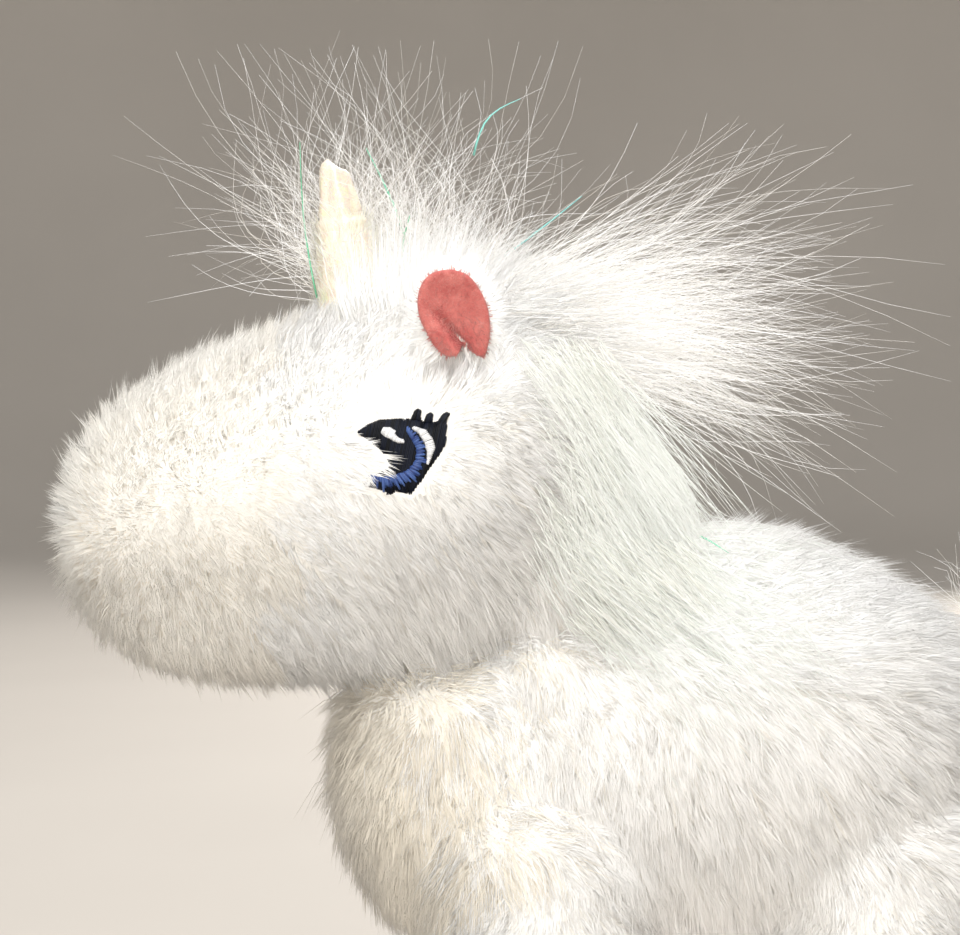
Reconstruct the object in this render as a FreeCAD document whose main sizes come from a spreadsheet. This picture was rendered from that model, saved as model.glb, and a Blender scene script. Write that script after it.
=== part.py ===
"""Plush unicorn foal: sewn plush panels over fibre filling, a shiny horn, long fibre mane and fabric hooves.

Frame: +Z up, the floor is z = 0, the nose points to -X, the animal's left is -Y.
The origin is on the floor, under the middle of the whole toy.
"""

import FreeCAD, Part
import os

doc = FreeCAD.newDocument("plush_unicorn")
sheet = doc.addObject("Spreadsheet::Sheet", "Sizes")
nodes = []

SIDES = {"left": -1, "right": 1}
ALONG_X = FreeCAD.Rotation(FreeCAD.Vector(0, 1, 0), -90)
UPRIGHT_ACROSS_Y = FreeCAD.Rotation(FreeCAD.Vector(1, 1, 1), 240)
UPRIGHT = FreeCAD.Rotation()
FAR_LOW = "0 - reach"
FAR_HIGH = "reach"

# ---------------------------------------------------------------- driving dimensions, millimetres and degrees

SIZES = {
    "plush": 2.2,           # backing cloth with its pressed pile
    "slack": 0.2,           # air between a cloth skin and the filling
    "running": 0.4,         # air between parts that move on one another
    "reach": 400.0,         # a box edge that is longer than the toy
    "stitch": 0.6,          # raised embroidery thread
    # torso
    "back_z": 86.0,         # the crest strip lies above this height
    "chest_seam_x": -15.0,  # where the chest gusset meets the belly gusset
    "crest_seam_x": 3.0,    # where the crest strip starts behind the neck
    "strip_half": 9.0,      # half width of the crest strip and the belly gusset
    "pouch_half_long": 22.0,
    "pouch_half_wide": 17.0,
    "pouch_half_tall": 13.0,
    "pouch_x": 20.0,
    "pouch_z": 80.0,
    "pouch_cloth": 0.6,
    # neck
    "neck_x": -13.5,
    "neck_z": 118.0,
    "neck_ball": 20.0,
    # head
    "gusset_half": 8.0,
    "head_mid_z": 119.0,
    # eyes, across the cheek
    "eye_x": -37.4,
    "eye_z": 135.0,
    "eye_half_tall": 6.8,
    "eye_half_wide": 6.6,
    "iris_shift_x": 1.0,
    "iris_shift_z": -1.2,
    "iris_half_tall": 4.9,
    "iris_half_wide": 4.6,
    "pupil_radius": 3.2,
    "glint_radius": 1.2,
    "glint_shift_x": -1.5,
    "glint_shift_z": 2.8,
    # horn
    "horn_x": -43.2,
    "horn_z": 151.0,
    "horn_length": 30.5,
    "horn_root": 6.2,
    "horn_tip": 2.1,
    "horn_lean": -11.0,
    "horn_cloth": 0.6,
    # ears
    "ear_x": -29.0,
    "ear_y": 22.0,
    "ear_z": 149.0,
    "ear_half_tall": 9.6,
    "ear_half_wide": 7.4,
    "ear_thick": 1.8,
    "ear_lift": 8.6,
    "lining_half_tall": 7.4,
    "lining_half_wide": 5.6,
    "lining_thick": 1.2,
    "ear_flare": 16.0,
    # legs
    "fore_x": -13.5,
    "hind_x": 38.5,
    "leg_y": 18.5,
    "hip_z": 57.0,
    "hip_radius": 16.6,
    "thigh_radius": 15.4,
    "ankle_radius": 12.6,
    "hoof_tall": 17.0,
    "hoof_top_radius": 13.6,
    "hoof_sole_radius": 15.2,
    "hoof_cloth": 1.2,
    "sole_thick": 1.5,
    # tail
    "dock_x": 58.5,
    "dock_z": 96.0,
    "dock_radius": 4.2,
    "dock_long": 8.9,
    "dock_rise": 25.0,
    # fibre bundles
    "forelock_x": -36.0,
    "forelock_z": 174.0,
    "forelock_half_long": 16.0,
    "forelock_half_wide": 7.0,
    "forelock_half_tall": 18.0,
    "crest_x": 3.0,
    "crest_z": 162.0,
    "crest_half_long": 33.0,
    "crest_half_wide": 9.0,
    "crest_half_tall": 12.0,
    "crest_pitch": -8.0,
    "drape_x": 17.0,
    "drape_y": -9.0,
    "drape_z": 111.0,
    "drape_half_long": 25.0,
    "drape_half_wide": 15.0,
    "drape_half_tall": 11.0,
    "drape_pitch": 28.0,
}

# Sections of the head from nose to nape: x, z, height across and width across.
HEAD = [
    (-91.0, 121.0, 14.5, 14.0),
    (-87.0, 121.5, 28.0, 26.0),
    (-75.5, 122.5, 44.0, 40.0),
    (-57.5, 125.5, 53.5, 48.5),
    (-37.5, 129.0, 59.0, 54.0),
    (-19.5, 130.5, 53.0, 50.0),
    (-8.0, 131.0, 36.0, 35.0),
    (-3.5, 131.0, 19.0, 18.0),
]

# Sections of the torso from chest to rump, in the same order.
TORSO = [
    (-47.0, 81.5, 12.0, 11.0),
    (-43.5, 80.0, 26.0, 25.0),
    (-36.0, 76.5, 37.5, 37.0),
    (-24.0, 75.5, 46.0, 46.0),
    (-10.0, 78.5, 55.0, 54.0),
    (6.0, 83.5, 65.0, 60.0),
    (22.0, 85.0, 65.0, 62.0),
    (38.0, 83.0, 57.5, 56.5),
    (50.0, 82.5, 42.5, 42.0),
    (57.0, 83.0, 27.0, 26.0),
    (60.0, 83.0, 12.0, 11.0),
]

# Sections of the tail, from the dock back and down: x, z, thickness, and the lean of the section.
TAIL = [
    (66.8, 99.8, 9.0, 25.0),
    (74.0, 101.0, 16.0, -10.0),
    (80.6, 93.0, 20.0, -62.0),
    (82.2, 78.0, 17.6, -88.0),
    (80.4, 62.0, 12.0, -100.0),
    (77.4, 50.0, 4.0, -108.0),
]


def fill_sheet():
    row = 1
    table = dict(SIZES)
    for form, sections, columns in (
        ("head", HEAD, ("x", "z", "tall", "wide")),
        ("torso", TORSO, ("x", "z", "tall", "wide")),
        ("tail", TAIL, ("x", "z", "thick", "lean")),
    ):
        for number, section in enumerate(sections):
            for column, value in zip(columns, section):
                table[f"{form}_{column}_{number}"] = value
    for name, value in table.items():
        sheet.set(f"A{row}", name)
        sheet.set(f"B{row}", str(value))
        sheet.setAlias(f"B{row}", name)
        row += 1
    doc.recompute()


def size(name):
    return float(getattr(sheet, name))


def with_sheet(formula):
    """A formula in the sheet's words, as the document's expressions want it."""
    words = formula.replace("(", " ( ").replace(")", " ) ").split()
    return " ".join("Sizes." + word if word[0].isalpha() else word for word in words)


# ---------------------------------------------------------------- helpers


def make(kind, name, rotation=UPRIGHT, at=("0", "0", "0"), **formulas):
    """One document object, with its sizes and its place bound to the sheet."""
    piece = doc.addObject(kind, name)
    piece.Label = name
    piece.Placement = FreeCAD.Placement(FreeCAD.Vector(), rotation)
    for axis, formula in zip("xyz", at):
        piece.setExpression(f"Placement.Base.{axis}", with_sheet(formula))
    for field, formula in formulas.items():
        piece.setExpression(field, with_sheet(formula))
    return piece


def combine(kind, name, base, tool):
    piece = doc.addObject(kind, name)
    piece.Label = name
    piece.Base = base
    piece.Tool = tool
    piece.Refine = False
    return piece


def cut(name, base, *tools):
    if len(tools) > 1:
        return combine("Part::Cut", name, base, join(name + "_tools", *tools))
    return combine("Part::Cut", name, base, tools[0])


def common(name, base, tool):
    return combine("Part::Common", name, base, tool)


def join(name, *shapes):
    piece = doc.addObject("Part::MultiFuse", name)
    piece.Label = name
    piece.Shapes = list(shapes)
    piece.Refine = False
    return piece


def keep(piece):
    """Mark a finished piece as one of the toy's parts."""
    nodes.append(piece)
    return piece


def ball(name, at, radius):
    return make("Part::Sphere", name, at=at, Radius=radius)


def ellipsoid(name, at, half_long, half_wide, half_tall, pitch="0"):
    radii = {"Radius1": half_tall, "Radius2": half_long, "Radius3": half_wide}
    piece = make("Part::Ellipsoid", name, UPRIGHT, at, **radii)
    piece.Angle1 = -90
    piece.Angle2 = 90
    piece.Angle3 = 360
    if pitch != "0":
        piece.Placement.Rotation = FreeCAD.Rotation(FreeCAD.Vector(0, 1, 0), size(pitch))
    return piece


def block(
    name,
    low_x=FAR_LOW,
    high_x=FAR_HIGH,
    low_y=FAR_LOW,
    high_y=FAR_HIGH,
    low_z=FAR_LOW,
    high_z=FAR_HIGH,
):
    """A box between the stated limits, and past the whole toy where no limit is stated."""
    return make(
        "Part::Box",
        name,
        at=(low_x, low_y, low_z),
        Length=f"{high_x} - ( {low_x} )",
        Width=f"{high_y} - ( {low_y} )",
        Height=f"{high_z} - ( {low_z} )",
    )


def strip_block(name, **limits):
    """The same, kept to the middle strip of the torso."""
    return block(name, low_y="0 - strip_half", high_y="strip_half", **limits)


def loft(name, sections):
    piece = doc.addObject("Part::Loft", name)
    piece.Label = name
    piece.Sections = sections
    piece.Solid = True
    piece.Ruled = False
    return piece


def body_form(name, form, sections, inset="0"):
    """The head or the torso as one closed form, made smaller all round by an inset."""
    last = len(sections) - 1
    end_steps = {0: f"+ ( {inset} )", last: f"- ( {inset} )"}
    rings = []
    for number in range(len(sections)):
        rings.append(
            make(
                "Part::Ellipse",
                f"{name}_ring_{number}",
                ALONG_X,
                (f"{form}_x_{number} {end_steps.get(number, '')}", "0", f"{form}_z_{number}"),
                MajorRadius=f"{form}_tall_{number} / 2 - ( {inset} )",
                MinorRadius=f"{form}_wide_{number} / 2 - ( {inset} )",
            )
        )
    return loft(name, rings)


def head_form(name, inset="0"):
    return body_form(name, "head", HEAD, inset)


def torso_form(name, inset="0"):
    return body_form(name, "torso", TORSO, inset)


def four_legs():
    for end in ("fore", "hind"):
        for side, sign in SIDES.items():
            yield end, side, sign


def leg_place(end, sign, height="hip_z"):
    return (f"{end}_x", f"{sign} * leg_y", height)


# ---------------------------------------------------------------- torso


def sockets(name):
    """The hollows in which the neck and the four thighs sit, with room to move."""
    hollows = [ball(name + "_neck", ("neck_x", "0", "neck_z"), "neck_ball + running")]
    for end, side, sign in four_legs():
        hollows.append(ball(f"{name}_{end}_{side}", leg_place(end, sign), "hip_radius + running"))
    return join(name, *hollows)


def torso_skin():
    """Two side panels, a crest strip along the back, a chest gusset and a belly gusset."""
    shell = cut("torso_shell", torso_form("torso_outside"), torso_form("torso_inside", "plush"))
    hollows = sockets("torso_sockets")
    rooms = {
        "torso_panel_left": block("left_room", high_y="0 - strip_half"),
        "torso_panel_right": block("right_room", low_y="strip_half"),
        "crest_strip": strip_block("crest_room", low_x="crest_seam_x", low_z="back_z"),
        "belly_gusset": strip_block("belly_room", low_x="chest_seam_x", high_z="back_z"),
        "chest_gusset": strip_block("chest_room", high_x="chest_seam_x"),
    }
    for name, room in rooms.items():
        keep(cut(name, common(name + "_whole", shell, room), hollows))


def pouch(name, inset):
    return ellipsoid(
        name,
        ("pouch_x", "0", "pouch_z"),
        f"pouch_half_long - ( {inset} )",
        f"pouch_half_wide - ( {inset} )",
        f"pouch_half_tall - ( {inset} )",
    )


def torso_filling():
    """Fibre filling around a cloth pouch of plastic pellets."""
    fill = torso_form("torso_fill_form", "plush + slack")
    hollows = join("fill_hollows", sockets("fill_sockets"), pouch("pouch_room", "0 - slack"))
    keep(cut("torso_stuffing", fill, hollows))
    keep(cut("pellet_pouch", pouch("pouch_outside", "0"), pouch("pouch_inside", "pouch_cloth")))
    keep(pouch("pellets", "pouch_cloth + slack"))


def neck():
    """A round wad of filling in its own cover, on which the head nods and turns."""
    place = ("neck_x", "0", "neck_z")
    outside = ball("neck_outside", place, "neck_ball")
    keep(cut("neck_cover", outside, ball("neck_inside", place, "neck_ball - plush")))
    keep(ball("neck_stuffing", place, "neck_ball - plush - slack"))


# ---------------------------------------------------------------- head


def head_skin():
    """Two cheek panels, a gusset from nose to nape and a chin panel."""
    shell = cut("head_shell", head_form("head_outside"), head_form("head_inside", "plush"))
    seat = ball("head_seat", ("neck_x", "0", "neck_z"), "neck_ball + running")
    shell = cut("head_shell_open", shell, seat)
    keep(common("head_panel_left", shell, block("left_cheek", high_y="0 - gusset_half")))
    keep(common("head_panel_right", shell, block("right_cheek", low_y="gusset_half")))
    middle = {"low_y": "0 - gusset_half", "high_y": "gusset_half"}
    above = block("gusset_above", low_z="head_mid_z", **middle)
    below = block("gusset_below", high_z="head_mid_z", **middle)
    keep(common("head_gusset", shell, above))
    keep(common("chin_panel", shell, below))


def head_filling():
    seat = ball("fill_seat", ("neck_x", "0", "neck_z"), "neck_ball + running")
    keep(cut("head_stuffing", head_form("head_fill_form", "plush + slack"), seat))


def cheek_rod(name, sign, half_tall, half_wide, shift_x="0", shift_z="0"):
    """A long oval rod through one cheek, which stamps a patch of embroidery out of a thin skin."""
    oval = make(
        "Part::Ellipse",
        name + "_oval",
        UPRIGHT_ACROSS_Y,
        (f"eye_x + {shift_x}", "0", f"eye_z + {shift_z}"),
        MajorRadius=half_tall,
        MinorRadius=half_wide,
    )
    rod = doc.addObject("Part::Extrusion", name)
    rod.Label = name
    rod.Base = oval
    rod.Dir = FreeCAD.Vector(0, sign, 0)
    rod.DirMode = "Custom"
    rod.Solid = True
    rod.setExpression("LengthFwd", "Sizes.reach")
    return rod


def eyes():
    """Satin stitch in three colours on each cheek: dark ring and pupil, blue iris, white glint."""
    for side, sign in SIDES.items():
        stitched = head_form(f"stitch_top_{side}", "0 - stitch")
        skin = cut(f"stitch_skin_{side}", stitched, doc.getObject("head_outside"))
        whole = cheek_rod(f"eye_whole_{side}", sign, "eye_half_tall", "eye_half_wide")
        iris_place = ("iris_shift_x", "iris_shift_z")
        iris = cheek_rod(f"iris_{side}", sign, "iris_half_tall", "iris_half_wide", *iris_place)
        pupil = cheek_rod(f"pupil_{side}", sign, "pupil_radius", "pupil_radius")
        glint = cheek_rod(
            f"glint_{side}", sign, "glint_radius", "glint_radius", "glint_shift_x", "glint_shift_z"
        )
        ring = cut(f"iris_ring_{side}", iris, pupil, glint)
        dark = cut(f"dark_{side}", whole, ring, doc.getObject(f"glint_{side}"))
        keep(common(f"eye_dark_{side}", skin, dark))
        keep(common(f"eye_blue_{side}", skin, ring))
        keep(common(f"eye_white_{side}", skin, doc.getObject(f"glint_{side}")))


def horn_cone(name, inset):
    lean = FreeCAD.Rotation(FreeCAD.Vector(0, 1, 0), size("horn_lean"))
    return make(
        "Part::Cone",
        name,
        lean,
        ("horn_x", "0", "horn_z"),
        Radius1=f"horn_root - ( {inset} )",
        Radius2=f"horn_tip - ( {inset} )",
        Height=f"horn_length - ( {inset} )",
    )


def horn():
    """A shiny cloth cone over its own filling, sewn to the forehead."""
    skull = doc.getObject("head_outside")
    shell = cut("horn_shell", horn_cone("horn_outside", "0"), horn_cone("horn_inside", "horn_cloth"))
    keep(cut("horn_cover", shell, skull))
    keep(cut("horn_stuffing", horn_cone("horn_fill", "horn_cloth + slack"), skull))


def ear_leaf(name, sign, half_tall, half_wide, low, high):
    """An upright oval leaf between two depths, flared outwards about its root."""
    oval = doc.addObject("Part::Ellipse", name + "_oval")
    oval.setExpression("MajorRadius", with_sheet(half_tall))
    oval.setExpression("MinorRadius", with_sheet(half_wide))
    oval.Placement = FreeCAD.Placement(
        FreeCAD.Vector(0, sign * low, size("ear_lift")), UPRIGHT_ACROSS_Y
    )
    leaf = doc.addObject("Part::Extrusion", name)
    leaf.Label = name
    leaf.Base = oval
    leaf.DirMode = "Custom"
    leaf.Dir = FreeCAD.Vector(0, sign, 0)
    leaf.LengthFwd = high - low
    leaf.Solid = True
    flare = FreeCAD.Rotation(FreeCAD.Vector(1, 0, 0), -sign * size("ear_flare"))
    leaf.Placement = FreeCAD.Placement(FreeCAD.Vector(), flare)
    for axis, formula in zip("xyz", ("ear_x", f"{sign} * ear_y", "ear_z")):
        leaf.setExpression(f"Placement.Base.{axis}", with_sheet(formula))
    return leaf


def ears():
    """Each ear is a plush back with a short-pile lining sewn on its outer face."""
    for side, sign in SIDES.items():
        back = size("ear_thick")
        face = back + size("lining_thick")
        keep(ear_leaf(f"ear_back_{side}", sign, "ear_half_tall", "ear_half_wide", 0.0, back))
        keep(ear_leaf(f"ear_lining_{side}", sign, "lining_half_tall", "lining_half_wide", back, face))


# ---------------------------------------------------------------- legs


def leg_form(name, end, sign, inset):
    """A thigh ball over a tapering shank that ends at the top of the hoof."""
    thigh = ball(name + "_thigh", leg_place(end, sign), f"hip_radius - ( {inset} )")
    shank = make(
        "Part::Cone",
        name + "_shank",
        at=leg_place(end, sign, "hoof_tall"),
        Radius1=f"ankle_radius - ( {inset} )",
        Radius2=f"thigh_radius - ( {inset} )",
        Height="hip_z - hoof_tall",
    )
    return join(name, thigh, shank)


def hoof_cone(name, end, sign, inset, low="0"):
    return make(
        "Part::Cone",
        name,
        at=leg_place(end, sign, low),
        Radius1=f"hoof_sole_radius - ( {inset} )",
        Radius2=f"hoof_top_radius - ( {inset} )",
        Height=f"hoof_tall - ( {low} )",
    )


def leg(end, side, sign):
    """Plush tube, filling, and a cloth hoof with a round sole."""
    tag = f"{end}_{side}"
    skin = leg_form(f"leg_form_{tag}", end, sign, "0")
    keep(cut(f"leg_plush_{tag}", skin, leg_form(f"leg_room_{tag}", end, sign, "plush")))
    filling = leg_form(f"leg_fill_{tag}", end, sign, "plush + slack")
    toe = hoof_cone(f"toe_fill_{tag}", end, sign, "hoof_cloth + slack", "sole_thick + slack")
    keep(join(f"leg_stuffing_{tag}", filling, toe))
    wall = hoof_cone(f"hoof_form_{tag}", end, sign, "0")
    keep(cut(f"hoof_wall_{tag}", wall, hoof_cone(f"hoof_room_{tag}", end, sign, "hoof_cloth")))
    keep(
        make(
            "Part::Cylinder",
            f"hoof_sole_{tag}",
            at=leg_place(end, sign, "0"),
            Radius="hoof_sole_radius - hoof_cloth - slack",
            Height="sole_thick",
        )
    )


# ---------------------------------------------------------------- tail and long fibres


def tail():
    """A short plush dock with a bundle of long fibres that arches back and falls."""
    rise = FreeCAD.Rotation(FreeCAD.Vector(0, 1, 0), 90 - size("dock_rise"))
    dock = make(
        "Part::Cylinder",
        "tail_dock",
        rise,
        ("dock_x", "0", "dock_z"),
        Radius="dock_radius",
        Height="dock_long",
    )
    keep(dock)
    rings = []
    for number in range(len(TAIL)):
        facing = FreeCAD.Rotation(FreeCAD.Vector(0, 1, 0), 90 - size(f"tail_lean_{number}"))
        rings.append(
            make(
                "Part::Circle",
                f"tail_ring_{number}",
                facing,
                (f"tail_x_{number}", "0", f"tail_z_{number}"),
                Radius=f"tail_thick_{number} / 2",
            )
        )
    keep(loft("tail_fibres", rings))


def bundle(name, form, place_y="0", pitch="0"):
    return ellipsoid(
        name,
        (f"{form}_x", place_y, f"{form}_z"),
        f"{form}_half_long",
        f"{form}_half_wide",
        f"{form}_half_tall",
        pitch,
    )


def long_fibres():
    """Bundles of long loose fibre: forelock and crest on the head, and the part that lies on the shoulder."""
    skull = doc.getObject("head_outside")
    horn_room = horn_cone("horn_room", "0 - running")
    hair_stop = block("forelock_front", low_z="horn_z")
    forelock = cut("forelock_clear", bundle("forelock_form", "forelock"), skull, horn_room)
    keep(common("forelock_fibres", forelock, hair_stop))
    crest = bundle("crest_form", "crest", pitch="crest_pitch")
    keep(cut("mane_upper_fibres", crest, head_form("crest_seat"), bundle("forelock_room", "forelock")))
    drape = bundle("drape_form", "drape", "drape_y", "drape_pitch")
    neck_room = ball("drape_neck_room", ("neck_x", "0", "neck_z"), "neck_ball + plush")
    keep(cut("mane_lower_fibres", drape, torso_form("drape_seat"), neck_room))


# ---------------------------------------------------------------- build, check and write


def check(piece):
    state = list(piece.State)
    if "Invalid" in state or "Error" in state:
        raise RuntimeError(f"{piece.Label} did not build: {state}")


def write(piece):
    shape = piece.Shape
    if shape.isNull() or not shape.isValid():
        raise RuntimeError(f"{piece.Label} has no valid shape")
    shape.exportStep(f"parts/{piece.Label}.step")
    print(f"{piece.Label:24s} solids {len(shape.Solids)} volume {shape.Volume:9.1f}")


fill_sheet()
torso_skin()
torso_filling()
neck()
head_skin()
head_filling()
eyes()
horn()
ears()
for place in four_legs():
    leg(*place)
tail()
long_fibres()
doc.recompute()

for piece in doc.Objects:
    check(piece)
os.makedirs("parts", exist_ok=True)
for piece in nodes:
    write(piece)
print(len(nodes), "parts")
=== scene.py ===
"""Looks of the plush unicorn: pile on sewn forms, long loose fibres, embroidered eyes, horn, ears and hooves."""

import math

import bmesh
import bpy
import numpy as np
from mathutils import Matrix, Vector
from mathutils.bvhtree import BVHTree
from mathutils.kdtree import KDTree


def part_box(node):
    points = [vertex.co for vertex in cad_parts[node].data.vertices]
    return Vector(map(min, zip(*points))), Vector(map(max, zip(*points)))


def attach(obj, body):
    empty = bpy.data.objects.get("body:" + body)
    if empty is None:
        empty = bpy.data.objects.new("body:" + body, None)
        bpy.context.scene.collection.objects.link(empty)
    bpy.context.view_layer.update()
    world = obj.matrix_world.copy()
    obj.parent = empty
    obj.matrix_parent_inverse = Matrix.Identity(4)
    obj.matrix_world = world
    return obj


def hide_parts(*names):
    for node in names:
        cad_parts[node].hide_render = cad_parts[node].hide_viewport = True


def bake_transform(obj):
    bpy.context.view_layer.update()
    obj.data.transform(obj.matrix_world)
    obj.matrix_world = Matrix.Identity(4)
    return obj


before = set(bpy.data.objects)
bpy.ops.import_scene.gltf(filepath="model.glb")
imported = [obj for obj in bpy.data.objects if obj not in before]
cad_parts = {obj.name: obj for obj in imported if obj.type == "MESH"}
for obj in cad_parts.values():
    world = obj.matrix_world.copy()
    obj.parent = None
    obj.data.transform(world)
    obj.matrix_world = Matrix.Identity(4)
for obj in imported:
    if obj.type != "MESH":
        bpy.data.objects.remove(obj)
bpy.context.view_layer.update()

MM = 0.001
SIDES = {"left": -1.0, "right": 1.0}
MOST_BLADES = 32000  # in one piece
BLADE_HALF_THICK = 0.012
NEEDLE_DEPTH = 0.35  # of the ends of a stitch
VOXEL = 1.4  # of the large skins
STITCH_LEAST = 0.25
# How tufts and single blades differ: the twist in radians, the rise and the length as shares.
TUFT_TWIST, TUFT_RISE, TUFT_LENGTH = 0.18, 0.16, 0.10
BLADE_TWIST, BLADE_RISE = 0.13, 0.12
ROOT_DEPTH = 0.5  # of pile below its skin
X, Y, Z = (np.array(axis) for axis in ((1.0, 0.0, 0.0), (0.0, 1.0, 0.0), (0.0, 0.0, 1.0)))


# ---- places, in millimetres, from the CAD nodes


def span(node):
    """A node's box at rest: lowest corner, highest corner and middle, in millimetres."""
    low, high = (np.array(corner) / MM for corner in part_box(node))
    return low, high, (low + high) / 2


EYE = {side: span(f"eye_dark_{side}")[2] for side in SIDES}
EAR = {side: span(f"ear_lining_{side}")[2] for side in SIDES}
HORN_LOW, HORN_HIGH = span("horn_cover")[:2]
HORN_ROOT = np.array([HORN_HIGH[0] - 6.2, 0.0, HORN_LOW[2] - 1.0])
HORN_TIP = np.array([HORN_LOW[0] + 2.1, 0.0, HORN_HIGH[2] - 0.4])
NECK = span("neck_cover")[2]
NECK_RADIUS = float(span("neck_cover")[1][0] - NECK[0])
LEGS = [f"{end}_{side}" for end in ("fore", "hind") for side in SIDES]
HEAD_LOW = span("chin_panel")[0]
HEAD_HIGH = span("head_gusset")[1]
RUMP_START = 8.0


# ---- mesh helpers


def unit(vectors):
    """Vectors scaled to length one."""
    return vectors / np.maximum(np.linalg.norm(vectors, axis=-1, keepdims=True), 1e-9)


def add_object(name, data):
    item = bpy.data.objects.new(name, data)
    bpy.context.scene.collection.objects.link(item)
    return item


def smooth_faces(mesh):
    mesh.polygons.foreach_set("use_smooth", np.ones(len(mesh.polygons), bool))


def raw_mesh(name, points, corners, sizes):
    """A mesh object from points in millimetres, the corners of all faces in a row, and each face's corner count."""
    mesh = bpy.data.meshes.new(name)
    mesh.vertices.add(len(points))
    mesh.vertices.foreach_set("co", (points * MM).astype(np.float32).ravel())
    mesh.loops.add(len(corners))
    mesh.loops.foreach_set("vertex_index", corners.astype(np.int32))
    mesh.polygons.add(len(sizes))
    starts = np.concatenate(([0], np.cumsum(sizes)[:-1])).astype(np.int32)
    mesh.polygons.foreach_set("loop_start", starts)
    smooth_faces(mesh)
    mesh.update(calc_edges=True)
    return add_object(name, mesh)


def grid_faces(rings, around):
    """Corners of the four-sided faces between rings of points that follow each other."""
    ring, step = np.divmod(np.arange((rings - 1) * around), around)
    low, beside = ring * around, (step + 1) % around
    return np.stack([low + step, low + beside, low + around + beside, low + around + step], axis=1).ravel()


def tube_faces(rings, around):
    """Corners and corner counts of such a grid with both ends closed."""
    ends = [np.arange(around)[::-1], np.arange(around) + (rings - 1) * around]
    sizes = [4] * ((rings - 1) * around) + [around, around]
    return np.concatenate([grid_faces(rings, around), *ends]), sizes


def on_circles(centre, radius, angle, height):
    """Points at angles and heights around an upright axis."""
    x, y = centre[0] + radius * np.cos(angle), centre[1] + radius * np.sin(angle)
    return np.stack(np.broadcast_arrays(x, y, height), axis=-1)


def turns(count):
    """Angles evenly spread over one full turn."""
    return 2 * math.pi * np.arange(count) / count


def note(piece, name, values):
    """A number for each vertex, which a material reads."""
    attribute = piece.data.attributes.new(name, "FLOAT", "POINT")
    attribute.data.foreach_set("value", np.asarray(values, np.float32).ravel())


def finish_piece(piece, body, material):
    """Gives a piece its material, slot and body. A piece without a body is left to the caller."""
    piece.data.materials.clear()
    piece.data.materials.append(material)
    if body:
        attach(piece, body)
    return piece


def remeshed(name, nodes, voxel, rounds, extra=()):
    """One closed, smoothed skin around several CAD nodes and helper objects."""
    joined = bmesh.new()
    for node in nodes:
        joined.from_mesh(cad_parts[node].data)
    for helper in extra:
        joined.from_mesh(helper)
    mesh = bpy.data.meshes.new(name)
    joined.to_mesh(mesh)
    joined.free()
    piece = add_object(name, mesh)
    modifier = piece.modifiers.new("voxels", "REMESH")
    modifier.mode = "VOXEL"
    modifier.voxel_size = voxel * MM
    solid = bpy.data.meshes.new_from_object(piece.evaluated_get(bpy.context.evaluated_depsgraph_get()))
    piece.modifiers.clear()
    work = bmesh.new()
    work.from_mesh(solid)
    keep_outermost(work)
    for _ in range(rounds):
        bmesh.ops.smooth_vert(work, verts=work.verts, factor=0.5, use_axis_x=True, use_axis_y=True, use_axis_z=True)
    work.to_mesh(piece.data)
    work.free()
    piece.data.update()
    smooth_faces(piece.data)
    return piece


def keep_outermost(work):
    """Removes everything but the island of faces with the largest extent."""
    work.verts.ensure_lookup_table()
    seen, islands = set(), []
    for start in work.verts:
        if start in seen:
            continue
        seen.add(start)
        island = [start]
        for vertex in island:  # grows as it runs
            beside = [edge.other_vert(vertex) for edge in vertex.link_edges]
            island += [other for other in beside if other not in seen]
            seen.update(beside)
        xs = [v.co.x for v in island]
        islands.append((max(xs) - min(xs), len(islands), island))
    islands.sort(key=lambda item: item[:2])
    for _, _, island in islands[:-1]:
        bmesh.ops.delete(work, geom=island, context="VERTS")


def ball_mesh(centre, halves):
    """A helper form for a skin: an ellipsoid that is only an ingredient of the remeshed skin."""
    work = bmesh.new()
    bmesh.ops.create_icosphere(work, subdivisions=4, radius=1.0)
    for vertex in work.verts:
        vertex.co = Vector((np.array(vertex.co) * halves + centre) * MM)
    mesh = bpy.data.meshes.new("ingredient")
    work.to_mesh(mesh)
    work.free()
    return mesh


def triangles(piece):
    """A piece's points in millimetres, its triangles and its normals at the points."""
    mesh = piece.data
    mesh.calc_loop_triangles()
    index = np.empty(len(mesh.loop_triangles) * 3, np.int32)
    mesh.loop_triangles.foreach_get("vertices", index)
    points, normals = np.empty((2, len(mesh.vertices) * 3), np.float32)
    mesh.vertices.foreach_get("co", points)
    mesh.vertex_normals.foreach_get("vector", normals)
    return points.reshape(-1, 3).astype(float) / MM, index.reshape(-1, 3), normals.reshape(-1, 3).astype(float)


def scatter(piece, per_mm2, rng):
    """Points spread evenly over a skin, with its normals there."""
    points, index, normals = triangles(piece)
    a, b, c = (points[index[:, k]] for k in range(3))
    area = np.linalg.norm(np.cross(b - a, c - a), axis=1) / 2
    count = int(area.sum() * per_mm2)
    chosen = rng.choice(len(area), count, p=area / area.sum())
    u, v = rng.random(count), rng.random(count)
    flip = u + v > 1
    u[flip], v[flip] = 1 - u[flip], 1 - v[flip]
    weights = np.stack([1 - u - v, u, v], axis=1)
    spots = np.einsum("nk,nkd->nd", weights, points[index[chosen]])
    facing = unit(np.einsum("nk,nkd->nd", weights, normals[index[chosen]]))
    return spots, facing


def smooth_noise(points, scale, seed):
    """Three slowly changing numbers from -1 to 1 for each point, from sums of sines."""
    rng = np.random.default_rng(seed)
    total = np.zeros((len(points), 3))
    for _ in range(4):
        waves = rng.normal(0, 1 / scale, (3, 3))
        phase = rng.uniform(0, 2 * math.pi, 3)
        total += np.sin(points @ waves + phase)
    return total / 2.4


# ---- pile


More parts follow.
